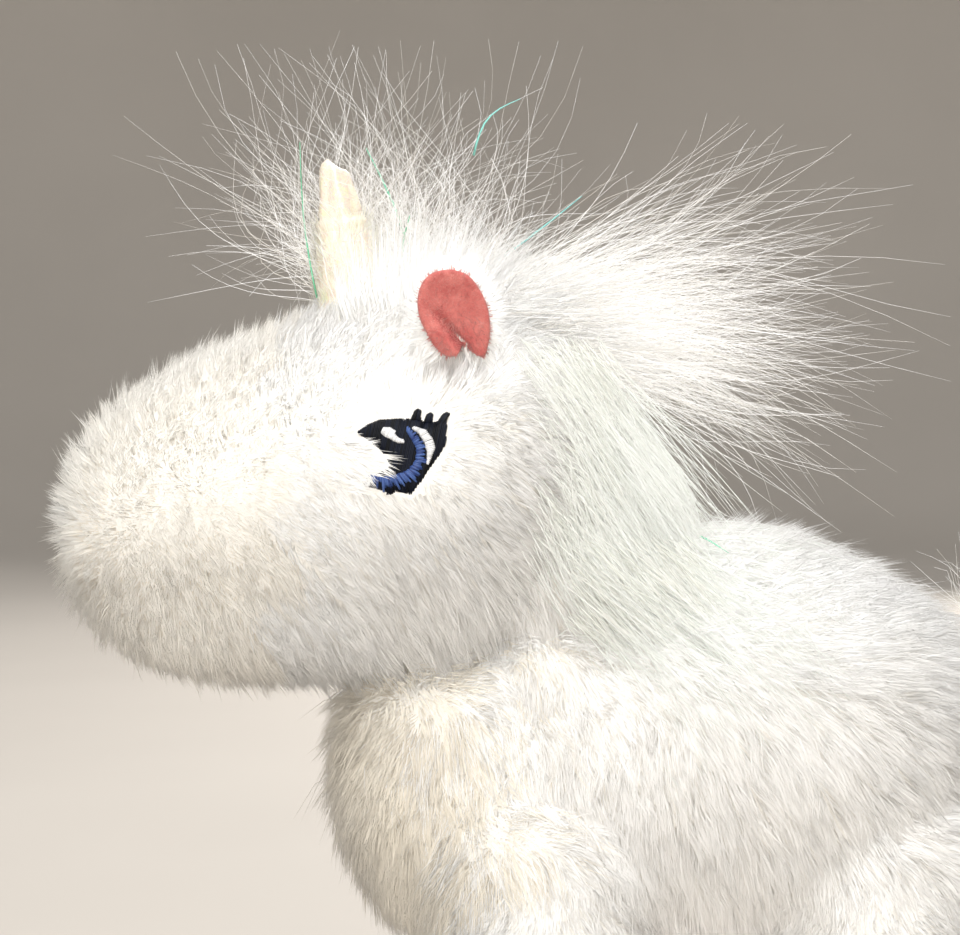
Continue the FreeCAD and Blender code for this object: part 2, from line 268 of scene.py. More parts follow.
def grow_pile(name, body, skin, comb, spec, seed, keep=None):
    """Short pile on a skin: bent tapering blades that lean along the comb, gathered in small tufts.

    spec: per_mm2, length, width, lift (share of the blade that stands up), tuft (mm between tufts).
    comb(points, normals) gives the lay, lift and growth; keep(points, normals) tells where pile grows.
    """
    spec = {**USUAL_PILE, **spec}
    rng = np.random.default_rng(seed)
    roots, normals = scatter(skin, spec["per_mm2"], rng)
    if keep is not None:
        kept = keep(roots, normals)
        roots, normals = roots[kept], normals[kept]
    count = len(roots)
    lay, lift, grow = comb(roots, normals)
    lay = unit(lay - normals * np.sum(lay * normals, axis=1, keepdims=True))
    # every tuft has its own lean, length and tip
    step = max(1, int(spec["per_mm2"] * spec["tuft"] ** 2))
    heads = np.arange(0, count, step)
    tree = KDTree(len(heads))
    for number, head in enumerate(heads):
        tree.insert(roots[head], number)
    tree.balance()
    tuft = np.array([tree.find(point)[1] for point in roots])

    def varied(by_tuft, by_blade):
        return rng.normal(0, by_tuft, len(heads))[tuft] + rng.normal(0, by_blade, count)

    twist = varied(TUFT_TWIST, BLADE_TWIST) + spec["swirl"] * smooth_noise(roots, 9.0, seed + 1)[:, 0]
    lay = lay * np.cos(twist)[:, None] + np.cross(normals, lay) * np.sin(twist)[:, None]
    rise = np.clip(lift * spec["lift"] * (1 + varied(TUFT_RISE, BLADE_RISE)), 0.12, 0.98)[:, None]
    long = spec["length"] * grow * (1 + rng.normal(0, TUFT_LENGTH, len(heads))[tuft])
    long = long * rng.uniform(0.72, 1.08, count)
    stray = rng.random(count) < spec["stray"]
    long[stray] *= rng.uniform(1.15, 1.45, stray.sum())
    # two straight halves, the second one leaning more
    first = unit(lay * (1 - rise) + normals * rise * 1.25)
    second = unit(lay * (1.10 - rise) + normals * rise * 0.66 - Z * 0.08)
    middle = roots + first * (long * 0.5)[:, None]
    tip = middle + second * (long * 0.55)[:, None]
    gather = np.where(stray, 0.05, rng.uniform(0.20, 0.56, count))[:, None]
    tip += (tip[heads][tuft] - tip) * gather
    middle += (middle[heads][tuft] - middle) * gather * 0.35
    roots = roots - normals * ROOT_DEPTH
    side = unit(np.cross(second, normals) + rng.normal(0, 0.22, (count, 3)))
    half = side * spec["width"] * rng.uniform(0.7, 1.2, count)[:, None] / 2
    blades = np.stack([roots - half, roots + half, middle + half * 0.85, middle - half * 0.85, tip], axis=1)
    # pile that looks down is lit as if it looked more to the side
    facing = spec["facing"](roots) if spec["facing"] else np.maximum(normals, (-1.0, -1.0, -0.25))
    bend = unit(facing + 0.30 * lay + rng.normal(0, 0.13, (count, 3)))
    lot = rng.random(len(heads))[tuft] * 0.6 + rng.random(count) * 0.4
    under = rng.random(count) < spec["under"]
    add_blades(name + "_under", blades[under], bend[under], lot[under], body, spec, True)
    for number, part in enumerate(np.array_split(np.flatnonzero(~under), 1 + (~under).sum() // MOST_BLADES)):
        add_blades(f"{name}_{number + 1}", blades[part], bend[part], lot[part], body, spec, False)


def add_blades(name, blades, bend, lot, body, spec, shades):
    """Flat tapering blades of five points, with a front and a back face each, lit as the skin below them is."""
    count = len(blades)
    facing = unit(np.cross(blades[:, 1] - blades[:, 0], blades[:, 3] - blades[:, 0]))[:, None, :]
    points = np.concatenate([blades + facing * BLADE_HALF_THICK, blades - facing * BLADE_HALF_THICK], axis=1)
    pattern = np.array([0, 1, 2, 3, 3, 2, 4, 8, 7, 6, 5, 9, 7, 8])
    corners = (pattern + 10 * np.arange(count)[:, None]).ravel()
    piece = raw_mesh(name, points.reshape(-1, 3), corners, np.tile([4, 3, 4, 3], count))
    piece.data.normals_split_custom_set_from_vertices(np.repeat(bend, 10, axis=0).tolist())
    piece.visible_shadow = piece.visible_diffuse = shades
    # share along each blade, 0 at the root and 1 at the tip, by which the material paints shade at the roots
    note(piece, "painted_root_shade", np.tile([0.0, 0.0, 0.55, 0.55, 1.0] * 2, count))
    note(piece, "lot", np.repeat(lot, 10))
    finish_piece(piece, body, spec["material"])


# ---- long fibres


def paths(roots, aims, lengths, rng, sag, wave, steps, spread, hook):
    """Curved lines from roots along aims, with waves that grow towards the tips. Lengths in millimetres.

    sag, wave and hook (a bend at the tip) are shares of the length; spread is how far the aims vary.
    """
    count = len(roots)
    t = np.linspace(0, 1, steps)[None, :, None]
    aims = unit(aims + rng.normal(0, spread, (count, 3)))
    side = unit(np.cross(aims, rng.normal(0, 1, (count, 3))))
    other = np.cross(aims, side)
    reach = lengths[:, None, None]
    line = roots[:, None, :] + aims[:, None, :] * t * reach - Z * t ** 2 * reach * sag
    for axis in (side, other):
        bends = rng.uniform(0.6, 2.3, count)[:, None, None]
        phase = rng.uniform(0, 2 * math.pi, count)[:, None, None]
        size = wave * rng.uniform(0.3, 1.7, count)[:, None, None]
        bow = np.sin(bends * math.pi * t + phase) - np.sin(phase)
        line += axis[:, None, :] * bow * reach * size * t ** 0.7
    return line + rng.normal(0, hook, (count, 1, 3)) * reach * t ** 3


def locks(name, body, lines, thick, material, rng, under=0.25, node=None):
    """Long fibres in two layers: a few that cast shadows, and the rest, which let the light through.

    The second layer stands for a CAD node, if one is given.
    """
    shades = rng.random(len(lines)) < under
    inner = fibres(name + "_under", body, lines[shades], thick, material, rng)
    outer = fibres(name, body, lines[~shades], thick, material, rng)
    outer.visible_shadow = outer.visible_diffuse = False
    if node:
        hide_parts(node)
    return inner, outer


def tubes(name, lines, guide, radius, sides, rng):
    """Closed tubes along lines of equal numbers of points, each with its own lot for the colour."""
    count, steps, _ = lines.shape
    along = unit(np.gradient(lines, axis=1))
    side = unit(np.cross(along, guide) + 1e-6)
    other = np.cross(along, side)
    ring = [lines + radius * (side * math.cos(a) + other * math.sin(a)) for a in turns(sides)]
    pattern, sizes = tube_faces(steps, sides)
    corners = (pattern + steps * sides * np.arange(count)[:, None]).ravel()
    piece = raw_mesh(name, np.stack(ring, axis=2).reshape(-1, 3), corners, np.tile(sizes, count))
    note(piece, "lot", np.repeat(rng.random(count), steps * sides))
    return piece


def fibres(name, body, lines, thick, material, rng):
    """Thin three-sided tapering fibres."""
    count, steps, _ = lines.shape
    guide = rng.normal(0, 1, (count, 1, 3))
    taper = 1 - 0.72 * np.linspace(0, 1, steps)[None, :, None] ** 1.5
    radius = thick / 2 * rng.uniform(0.65, 1.25, (count, 1, 1)) * taper
    piece = tubes(name, lines, guide, radius, 3, rng)
    # share along each fibre, by which the material paints shade at the roots
    note(piece, "painted_root_shade", np.tile(np.repeat(np.linspace(0, 1, steps), 3), count))
    return finish_piece(piece, body, material)


def threads(name, body, lines, thick, material, rng):
    """Round threads of even thickness."""
    radius = thick / 2 * rng.uniform(0.85, 1.1, (len(lines), 1, 1))
    return finish_piece(tubes(name, lines, Y, radius, 6, rng), body, material)


# ---- materials


FULL = (1.0, 1.0, 1.0)


def srgb(values):
    """Colour from 0-255 screen values to linear light."""
    return tuple(((v / 255 + 0.055) / 1.055) ** 2.4 if v > 10.3 else v / 255 / 12.92 for v in values)


class Paint:
    """A small wrapper for building one node material."""

    def __init__(self, name, **sockets):
        self.material = bpy.data.materials.new(name)
        self.material.use_nodes = True
        self.nodes = self.material.node_tree.nodes
        self.links = self.material.node_tree.links
        self.shader = self.nodes["Principled BSDF"]
        for socket, value in sockets.items():
            self.shader.inputs[socket.replace("_", " ")].default_value = value

    def add(self, kind, **fields):
        node = self.nodes.new(kind)
        for field, value in fields.items():
            if field.startswith("in_"):
                node.inputs[field[3:].replace("_", " ")].default_value = value
            else:
                setattr(node, field, value)
        return node

    def attribute(self, name):
        return self.add("ShaderNodeAttribute", attribute_name=name).outputs["Fac"]

    def noise(self, scale, detail=3.0, rough=0.55):
        place = self.add("ShaderNodeTexCoord").outputs["Object"]
        node = self.add("ShaderNodeTexNoise", in_Scale=scale, in_Detail=detail, in_Roughness=rough)
        self.links.new(place, node.inputs["Vector"])
        return node.outputs["Fac"]

    def ramp(self, source, stops):
        node = self.add("ShaderNodeValToRGB")
        while len(node.color_ramp.elements) < len(stops):
            node.color_ramp.elements.new(0.5)
        for element, (place, colour) in zip(node.color_ramp.elements, stops):
            element.position = place
            element.color = (*colour, 1.0)
        self.links.new(source, node.inputs["Fac"])
        return node.outputs["Color"]

    def multiply(self, share, a, b):
        node = self.add("ShaderNodeMix", data_type="RGBA", blend_type="MULTIPLY")
        node.inputs[0].default_value = share
        self.links.new(a, node.inputs[6])
        self.links.new(b, node.inputs[7])
        return node.outputs[2]

    def colour(self, source):
        self.links.new(source, self.shader.inputs["Base Color"])

    def rough(self, source, low, high):
        node = self.add("ShaderNodeMapRange", in_To_Min=low, in_To_Max=high)
        self.links.new(source, node.inputs["Value"])
        self.links.new(node.outputs["Result"], self.shader.inputs["Roughness"])

    def bump(self, source, height, strength=0.6):
        node = self.add("ShaderNodeBump", in_Strength=strength, in_Distance=height * MM)
        self.links.new(source, node.inputs["Height"])
        self.links.new(node.outputs["Normal"], self.shader.inputs["Normal"])


def pile_material(name, root, tip, deep):
    """Plush pile: warm roots darkened with painted shade, pale tips, and tufts that differ a little."""
    paint = Paint(name, Roughness=0.62, Sheen_Weight=0.25, Sheen_Roughness=0.5)
    # painted shade: the root colour is darker and warmer than the tip colour, as if shaded between the blades
    painted_root_shade = paint.ramp(paint.attribute("painted_root_shade"), [(0.0, srgb(root)), (0.45, srgb(tip))])
    lots = paint.ramp(paint.attribute("lot"), [(0.0, deep), (0.35, FULL)])
    colour = paint.multiply(0.55, painted_root_shade, lots)
    wide = paint.ramp(paint.noise(60.0), [(0.35, (0.975, 0.96, 0.935)), (0.62, FULL)])
    paint.colour(paint.multiply(0.6, colour, wide))
    paint.rough(paint.noise(900.0), 0.5, 0.75)
    return paint.material


def skin_material(name, low, high):
    """Knitted backing cloth of the plush."""
    paint = Paint(name, Roughness=0.9, Sheen_Weight=0.3)
    fine = paint.noise(2600.0)
    paint.colour(paint.ramp(fine, [(0.3, srgb(low)), (0.7, srgb(high))]))
    paint.bump(fine, 0.25)
    return paint.material


def fibre_material(name, stops, rough=0.38):
    paint = Paint(name, Roughness=rough, Coat_Weight=0.15, Coat_Roughness=0.3)
    lots = paint.ramp(paint.attribute("lot"), [(place, srgb(colour)) for place, colour in stops])
    # painted shade: fibres darker towards their roots
    painted_root_shade = paint.ramp(paint.attribute("painted_root_shade"), [(0.0, (0.93, 0.91, 0.88)), (0.4, FULL)])
    paint.colour(paint.multiply(1.0, lots, painted_root_shade))
    return paint.material


def felt_material(name, dark, light):
    """Short brushed felt with a mottled colour, and painted shade where a fold creases it."""
    paint = Paint(name, Roughness=0.92, Sheen_Weight=0.5, Sheen_Roughness=0.4)
    coarse, fine = paint.noise(420.0, 4.0, 0.65), paint.noise(2600.0, 3.0, 0.7)
    mottled = paint.ramp(coarse, [(0.30, srgb(dark)), (0.68, srgb(light))])
    flecks = paint.ramp(fine, [(0.35, (0.86, 0.84, 0.84)), (0.6, FULL)])
    # painted shade: darker, duller pink where the ear's fold creases
    painted_fold_shade = paint.ramp(paint.attribute("fold"), [(0.0, FULL), (0.8, (0.62, 0.42, 0.44))])
    paint.colour(paint.multiply(1.0, paint.multiply(0.8, mottled, flecks), painted_fold_shade))
    paint.bump(fine, 0.22)
    return paint.material


def thread_material(name, low, high, rough=0.35, shine=0.5):
    """Shiny embroidery thread: each strand a little different, with fine twist."""
    paint = Paint(name, Roughness=rough, Specular_IOR_Level=shine)
    paint.colour(paint.ramp(paint.attribute("lot"), [(0.1, srgb(low)), (0.9, srgb(high))]))
    paint.bump(paint.noise(5200.0, 2.0), 0.08)
    return paint.material


def horn_material():
    """Shiny woven cloth, cream and gold, with rose and pale green patches that are painted sheen for its pearly
    shimmer.
    """
    paint = Paint("horn_cloth", Roughness=0.34, Metallic=0.12, Coat_Weight=0.5, Coat_Roughness=0.18)
    # cream and gold are the cloth's own colours; rose and pale green are painted sheen
    patches = [(236, 212, 176), (250, 243, 220), (246, 226, 214), (248, 243, 208), (224, 238, 206)]
    stops = list(zip((0.28, 0.40, 0.52, 0.60, 0.72), map(srgb, patches)))
    colour_and_painted_sheen = paint.ramp(paint.noise(260.0, 4.0, 0.7), stops)
    weave = paint.ramp(paint.noise(4200.0, 2.0), [(0.35, (0.86, 0.84, 0.78)), (0.6, FULL)])
    paint.colour(paint.multiply(0.7, colour_and_painted_sheen, weave))
    paint.rough(paint.noise(700.0), 0.22, 0.5)
    paint.bump(paint.noise(1500.0, 3.0), 0.25)
    return paint.material


# Of each pile's two colours, the first is the root in painted shade and the second is the tip.
WHITE_PILE = pile_material("plush_pile", (238, 234, 226), (253, 252, 250), (0.95, 0.945, 0.93))
CREAM_PILE = pile_material("muzzle_pile", (240, 228, 208), (254, 250, 242), (0.96, 0.93, 0.88))
# painted shade and warm painted bounce light on the white pile of the breast below the head
BREAST_SHADE_PILE = pile_material("breast_pile", (226, 214, 194), (245, 238, 224), (0.95, 0.92, 0.87))
BACKING = skin_material("plush_backing", (238, 234, 226), (250, 247, 241))
HAIR = fibre_material("long_fibre", [(0.0, (236, 232, 224)), (0.25, (250, 248, 244)), (0.6, (255, 254, 253))])
# white fibres with a greenish painted sheen, as on the smooth combed band over the neck
MANE_HAIR = fibre_material("mane_fibre", [(0.0, (234, 238, 231)), (0.3, (247, 250, 245)), (0.7, (253, 255, 252))])
# green tinsel, with blue painted sheen for its shimmer
TINSEL = fibre_material("tinsel", [(0.0, (90, 190, 130)), (0.5, (140, 225, 190)), (1.0, (150, 215, 235))], 0.15)
PINK_FELT = felt_material("pink_felt", (198, 98, 94), (226, 134, 126))
PINK_FUZZ = felt_material("pink_fuzz", (208, 108, 104), (236, 156, 148))
DARK_THREAD = thread_material("thread_dark", (2, 4, 9), (13, 19, 34), 0.5, 0.22)
BLUE_THREAD = thread_material("thread_blue", (36, 56, 112), (78, 106, 166), 0.4, 0.35)
WHITE_THREAD = thread_material("thread_white", (216, 217, 218), (244, 244, 244))
HORN_CLOTH = horn_material()
HORN_FLUFF = pile_material("horn_fluff", (236, 226, 190), (251, 248, 230), (0.93, 0.91, 0.80))

# What a pile has unless it says otherwise: its material, the share of long stray blades, the share of blades in the
# layer that casts shadows, how far the lay wanders, and a rule for which way the blades face the light.
USUAL_PILE = dict(material=WHITE_PILE, stray=0.03, under=0.14, swirl=0.3, facing=None)


# ---- combs: which way the pile lies


def near(points, spot, halves, reach):
    """From 0 to 1 towards a spot on one side of the head, inside an ellipse of these half sizes times reach."""
    away = points - spot
    gap = np.hypot(away[:, 0] / halves[0], away[:, 2] / halves[1])
    return np.clip(reach - gap, 0, 1) * (points[:, 1] * spot[1] > 0)


def turned(lay, towards, share):
    """A lay that gives way to another by a share at each point."""
    share = share[:, None]
    return lay * (1 - share) + towards * share


def head_comb(points, normals):
    """Back from the nose, out around the muzzle, up over the forehead, down under the jaw."""
    x, y, z = points.T
    from_nose = np.clip((x - HEAD_LOW[0]) / 30.0, 0, 1)[:, None]
    axis_height = np.interp(x, [HEAD_LOW[0], -40.0, 0.0], [118.0, 129.0, 131.0])
    radial = unit(np.stack([0 * x, y - (HEAD_LOW[1] + HEAD_HIGH[1]) / 2, z - axis_height], axis=1))
    below = np.clip(-normals[:, 2] - 0.1, 0, 1)
    jaw = np.clip((119.0 - z) / 9.0, 0, 1) * np.clip((x + 50.0) / 16.0, 0, 1)
    lay = X * (0.35 + 0.55 * from_nose) + radial * (1.1 - 0.75 * from_nose)
    lay = lay - Z * (0.28 + 0.6 * below + 0.7 * jaw)[:, None]
    lift, grow = 1.0, 1.0 + 0.5 * jaw
    for side in SIDES:
        foot = near(points, EAR[side] - Z * 9.5, (5.5, 3.2), 1.6)
        lay = turned(lay, Z + X * 0.1, foot)
        from_eye, by_eye = points - EYE[side], near(points, EYE[side], (8.6, 8.2), 1.75)
        upper_back = by_eye * (1 - np.clip((-from_eye[:, 0] - from_eye[:, 2]) / 7.0, 0, 1))
        lay = turned(lay, unit(from_eye * (X + Z) + Z * 2.0), upper_back)
        grow = (grow + 0.35 * foot) * (1 - 0.35 * upper_back)
        lift = lift * (1 - 0.45 * by_eye)
    return lay, lift, grow


def torso_comb(points, normals):
    """Down the chest, shoulders and flanks, back along the top."""
    top = np.clip((normals[:, 2] - 0.15) / 0.6, 0, 1)[:, None]
    front = np.clip((-normals[:, 0] - 0.3) / 0.5, 0, 1)[:, None]
    lay = X * (0.28 + 0.75 * top - 0.3 * front) - Z * (1 - 0.8 * top)
    return lay, 1.0 + 0.25 * top[:, 0], 1.0


def down_comb(points, normals):
    return -Z + X * 0.15, 1.0, 1.0


def outside_joints(margin=0.8):
    """Keeps pile out of the hollows in which the neck and the thighs turn."""
    rounds = [(NECK, NECK_RADIUS)]
    for leg in LEGS:
        low, high, middle = span(f"leg_plush_{leg}")
        radius = (high[0] - low[0]) / 2
        rounds.append((np.array([middle[0], middle[1], high[2] - radius]), radius))

    def clear(points):
        gaps = [np.linalg.norm(points - centre, axis=1) - radius for centre, radius in rounds]
        return np.min(gaps, axis=0) > margin

    return clear


# ---- forms


def eye_room(points):
    """True where the embroidery leaves no room for pile."""
    inside = np.zeros(len(points), bool)
    for side, sign in SIDES.items():
        u, v = points[:, 0] - EYE[side][0], points[:, 2] - EYE[side][2]
        inside |= in_outline(u, v, EYE_CLEAR) & (points[:, 1] * sign > 0)
    return inside


def in_outline(u, v, outline):
    """Even-odd test of many points against one outline."""
    inside = np.zeros(len(u), bool)
    for (u1, v1), (u2, v2) in zip(outline, outline[1:] + outline[:1]):
        crosses = (v1 > v) != (v2 > v)
        at = u1 + (v - v1) / ((v2 - v1) or 1e-9) * (u2 - u1)
        inside ^= crosses & (u < at)
    return inside


# Outlines of the embroidery around the middle of the eye: towards the nape, up, in millimetres.
EYE_LID = [
    (-6.5, 3.1), (-5.1, 4.3), (-3.2, 5.1), (-0.3, 5.3), (1.6, 5.3), (2.2, 6.2), (3.0, 6.3), (3.3, 5.1), (3.9, 4.9),
    (4.2, 5.7), (5.0, 5.6), (5.2, 4.7), (5.9, 5.0), (6.6, 5.9), (7.5, 5.8), (7.2, 4.2), (7.1, 2.4), (7.0, 1.4),
    (6.0, -0.4), (4.5, -2.5), (3.2, -4.5), (1.7, -6.4), (0.6, -6.1), (-0.4, -5.9), (-1.9, -6.6), (-2.2, -5.8),
    (-3.4, -5.5), (-5.6, -4.9), (-5.0, -3.8), (-2.6, -2.8), (-1.4, -1.9), (-2.1, -0.6), (-3.3, 0.8), (-4.9, 2.0),
]
EYE_CLEAR = [
    (-8.6, 3.1), (-6.2, 4.6), (-3.0, 5.4), (0.9, 5.6), (2.4, 6.7), (5.0, 6.1), (7.6, 6.1), (7.4, 2.4),
    (6.3, -0.6), (4.0, -3.8), (1.8, -6.6), (-0.6, -6.2), (-3.4, -5.9), (-7.4, -5.4), (-7.2, -4.0), (-4.6, -3.0),
    (-3.2, -1.8), (-4.2, -0.4), (-5.8, 0.8), (-7.6, 1.7),
]
IRIS_OUTER = [
    (1.3, 3.9), (2.7, 2.9), (3.8, 1.2), (4.1, -0.2), (3.9, -1.6), (2.9, -3.2), (1.0, -4.7), (-1.6, -5.1),
    (-3.5, -4.8), (-4.9, -4.0),
]
IRIS_INNER = [
    (1.2, 3.1), (2.0, 1.7), (2.5, 0.6), (2.5, -0.2), (2.2, -1.3), (1.3, -2.4), (-0.3, -3.1), (-1.9, -3.4),
    (-3.2, -3.4), (-4.5, -3.3),
]
WHITE_OUTER = [(2.4, 3.9), (4.1, 3.5), (5.2, 2.2), (5.6, 0.9), (5.0, -0.5), (4.4, -1.7)]
WHITE_INNER = [(2.0, 3.6), (3.0, 2.8), (3.7, 1.6), (4.1, 0.3), (4.2, -0.8), (4.2, -1.6)]
GLINT = [
    (-2.8, 3.4), (-2.2, 3.9), (-1.3, 3.9), (-0.6, 3.4), (-0.6, 2.7), (0.0, 2.2), (0.7, 1.9), (0.7, 1.5),
    (-0.2, 1.5), (-1.3, 1.9), (-2.3, 2.3), (-2.8, 2.8),
]
LASHES = [((2.4, 4.9), (2.8, 6.8)), ((4.3, 4.6), (4.7, 6.2)), ((6.1, 4.2), (7.3, 6.3))]


def places_on(line, at):
    """Places on a line of points at shares of its length."""
    line = np.array(line)
    passed = np.concatenate(([0], np.cumsum(np.linalg.norm(np.diff(line, axis=0), axis=1))))
    return np.stack([np.interp(at, passed / passed[-1], column) for column in line.T], axis=-1)


def fill_stitches(outline, slope, gap):
    """Parallel stitches across an outline, as pairs of ends. slope is in degrees from level."""
    outline = np.array(outline)
    turn = math.radians(slope)
    along, across = np.array([math.cos(turn), math.sin(turn)]), np.array([-math.sin(turn), math.cos(turn)])
    heights, reach = outline @ across, outline @ along
    before, reach_before = np.roll(heights, 1), np.roll(reach, 1)
    stitches = []
    for level in np.arange(heights.min() + gap / 2, heights.max(), gap):
        k = np.flatnonzero((before > level) != (heights > level))
        share = (level - before[k]) / (heights - before)[k]
        cuts = np.sort(reach_before[k] + share * (reach - reach_before)[k])
        for low, high in zip(cuts[::2], cuts[1::2]):
            if high - low > STITCH_LEAST:
                stitches.append((along * low + across * level, along * high + across * level))
    return stitches


def stitch_lines(surface, side, stitches, lift, crown, rng):
    """Stitches laid on the cheek: each rises a little between its two needle holes."""
    sign, lines = SIDES[side], []
    t = np.linspace(0, 1, 6)
    rise = lift + crown * np.sin(math.pi * t)
    rise[[0, -1]] -= NEEDLE_DEPTH
    for start, end in stitches:
        for (u, v), up in zip(np.outer(1 - t, start) + np.outer(t, end), rise):
            origin = Vector((EYE[side][0] + u, sign * 60.0, EYE[side][2] + v)) * MM
            hit, normal = surface.ray_cast(origin, Vector((0, -sign, 0)))[:2]
            lines.append(np.array(hit) / MM + np.array(normal) * up)
    lines = np.array(lines).reshape(len(stitches), len(t), 3)
    lines[:, 1:-1] += rng.normal(0, 0.02, (len(lines), 1, 3))
    return lines


def embroider(surface, side):
    """The eye on one cheek: dark lid, pupil and lashes, blue iris, white of the eye and glints."""
    rng = np.random.default_rng(40 + int(SIDES[side]))
    dark = fill_stitches(EYE_LID, 78, 0.26)
    for (u1, v1), (u2, v2) in LASHES:
        dark += [((u1 + k, v1), (u2 + k * 0.8, v2 - abs(k) * 0.5)) for k in (-0.44, -0.22, 0.0, 0.22, 0.44)]
    blue = list(zip(*(places_on(line, np.linspace(0, 1, 60)) for line in (IRIS_INNER, IRIS_OUTER))))
    white = list(zip(*(places_on(line, np.linspace(0, 1, 26)) for line in (WHITE_INNER, WHITE_OUTER))))
    glint = fill_stitches(GLINT, 62, 0.24)
    glint += fill_stitches(on_circles((-4.9, -4.6), 0.45, turns(18), 0.0)[:, :2], 0, 0.24)
    layers = [
        # colour, stitches, lift off the cheek, rise between the needle holes, thickness, material, raggedness of ends
        ("dark", dark, 0.18, 0.18, 0.42, DARK_THREAD, 0.0),
        ("blue", blue, 0.42, 0.20, 0.38, BLUE_THREAD, 0.22),
        ("white", white + glint, 0.55, 0.16, 0.30, WHITE_THREAD, 0.0),
    ]
    for colour, stitches, lift, crown, thick, material, ragged in layers:
        if ragged:
            shift = rng.normal(0, ragged, (len(stitches), 1))
            stitches = [(a, b + (b - a) * s) for (a, b), s in zip(stitches, shift)]
        lines = stitch_lines(surface, side, stitches, lift, crown, rng)
        piece = threads(f"stitches_{colour}_{side}", "head", lines, thick, material, rng)
        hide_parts(f"eye_{colour}_{side}")


def surface_of(piece):
    points, index, _ = triangles(piece)
    return BVHTree.FromPolygons([Vector(p * MM) for p in points], index.tolist())


# ---- head


def plush(name, body, nodes, voxel, rounds, extra=(), hidden=()):
    """A skin around CAD nodes, with its backing cloth. It also stands for the nodes hidden in it."""
    skin = remeshed(name, nodes, voxel, rounds, extra)
    finish_piece(skin, body, BACKING)
    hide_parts(*nodes, *hidden)
    return skin


def head():
    """The head with its pile and embroidered eyes. Gives its surface."""
    nodes = ["head_panel_left", "head_panel_right", "head_gusset", "chin_panel", "head_stuffing"]
    skin = plush("head_plush", "head", nodes, 1.3, 6)
    surface = surface_of(skin)
    muzzle_end = HEAD_LOW[0] + 34.0
    rng = np.random.default_rng(15)

    def muzzle(points, normals=None):
        return points[:, 0] + 4.0 * smooth_noise(points, 4.0, 5)[:, 0] < muzzle_end

    def cheek(points, normals):
        clear = np.linalg.norm(points - NECK, axis=1) > NECK_RADIUS + 1.2
        return ~muzzle(points) & clear & ~eye_room(points)

    def crown(points, normals):
        from_horn = points[:, 0] - HORN_ROOT[0]
        behind = (from_horn > -1.0) & (points[:, 0] < -8.0) & (np.hypot(from_horn, points[:, 1]) > 7.6)
        return behind & (np.abs(points[:, 1]) < 12.5) & (normals[:, 2] > 0.4)

    def swept(points, normals):
        back = np.clip((points[:, 0] + 38.0) / 30.0, 0, 1)
        lay = np.stack([0.5 + back, np.sign(points[:, 1]) * 0.25, np.full(len(points), 0.3)], axis=1)
        return lay, 1.25 - 0.75 * back, 0.85 + 0.6 * rng.random(len(points))

    short = dict(per_mm2=7.0, length=5.3, width=0.18, lift=0.62, tuft=1.4)
    grow_pile("muzzle_pile", "head", skin, head_comb, {**short, "material": CREAM_PILE}, 11, muzzle)
    grow_pile("cheek_pile", "head", skin, head_comb, short, 12, cheek)
    fluff = dict(per_mm2=7.0, length=10.5, width=0.17, lift=0.9, tuft=1.5, stray=0.12, under=0.06)
    grow_pile("crown_pile", "head", skin, swept, fluff, 14, crown)
    for side in SIDES:
        embroider(surface, side)
    return surface


def horn():
    """A tapering cloth cone with soft facets, a sewn fold two thirds up and a slanting blunt tip."""
    whole = HORN_TIP - HORN_ROOT
    axis = unit(whole)
    side = unit(np.cross(Y, axis))
    rings, around = 44, 40
    phase = np.random.default_rng(71).uniform(0, 2 * math.pi, 3)
    t, a = np.linspace(0, 1, rings)[:, None], turns(around)
    base = np.interp(t, [0.0, 0.3, 0.63, 0.66, 1.0], [6.1, 5.3, 4.35, 3.95, 2.05])
    fold = 0.34 * np.exp(-((t - 0.635) / 0.018) ** 2) - 0.38 * np.exp(-((t - 0.675) / 0.014) ** 2)
    shut = np.where(t < 0.95, 1.0, 0.45 + 0.55 * np.sqrt(np.maximum(0.0, 1 - ((t - 0.95) / 0.05) ** 2)))
    wrinkle = 0.16 * np.sin(5 * a + 9 * t + phase[0]) + 0.10 * np.sin(9 * a - 14 * t + phase[1])
    wrinkle += 0.09 * np.sin(31 * t + 2 * a + phase[2])
    flat = math.cos(math.pi / 6) / np.cos((a + 0.35) % (math.pi / 3) - math.pi / 6)
    faceted = 1 + (flat - 0.94) * np.where(t > 0.65, 0.9, 0.35)
    r = ((base + fold) * faceted + wrinkle * 0.7) * shut
    parts = (side, r * np.cos(a)), (Y, r * np.sin(a)), (whole, t + 0 * a), (-axis, 0.9 * np.cos(a) * t ** 6)
    points = HORN_ROOT + sum(way * size[..., None] for way, size in parts)
    cover = raw_mesh("horn_cloth", points.reshape(-1, 3), *tube_faces(rings, around))
    finish_piece(cover, "head", HORN_CLOTH)
    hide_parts("horn_cover", "horn_stuffing")

    def creep(points, normals):
        return axis + 0.5 * normals, 0.75, 1.0

    def lower(points, normals):
        height = ((points - HORN_ROOT) @ axis) / np.linalg.norm(whole)
        return height + 0.10 * smooth_noise(points, 2.0, 3)[:, 0] < 0.62

    spec = dict(per_mm2=2.6, length=3.4, width=0.13, lift=0.40, tuft=1.0, material=HORN_FLUFF, stray=0.1)
    grow_pile("horn_fluff", "head", cover, creep, spec, 73, lower)


# The ear's outline around its middle, towards the nape and up, in millimetres, with a notch between two lobes.
EAR_OUTLINE = [
    (-1.0, 7.3), (-3.4, 6.7), (-5.0, 4.9), (-5.6, 2.2), (-5.2, -0.6), (-4.1, -3.0), (-2.9, -5.1), (-1.3, -6.5),
    (0.2, -6.3), (1.5, -5.0), (2.6, -6.0), (4.6, -6.6), (5.3, -4.6), (5.6, -1.9), (5.2, 1.3), (4.0, 4.1),
    (2.3, 6.3), (0.6, 7.1),
]
EAR_FOLD = ((-2.2, -0.4), (1.6, -4.8))


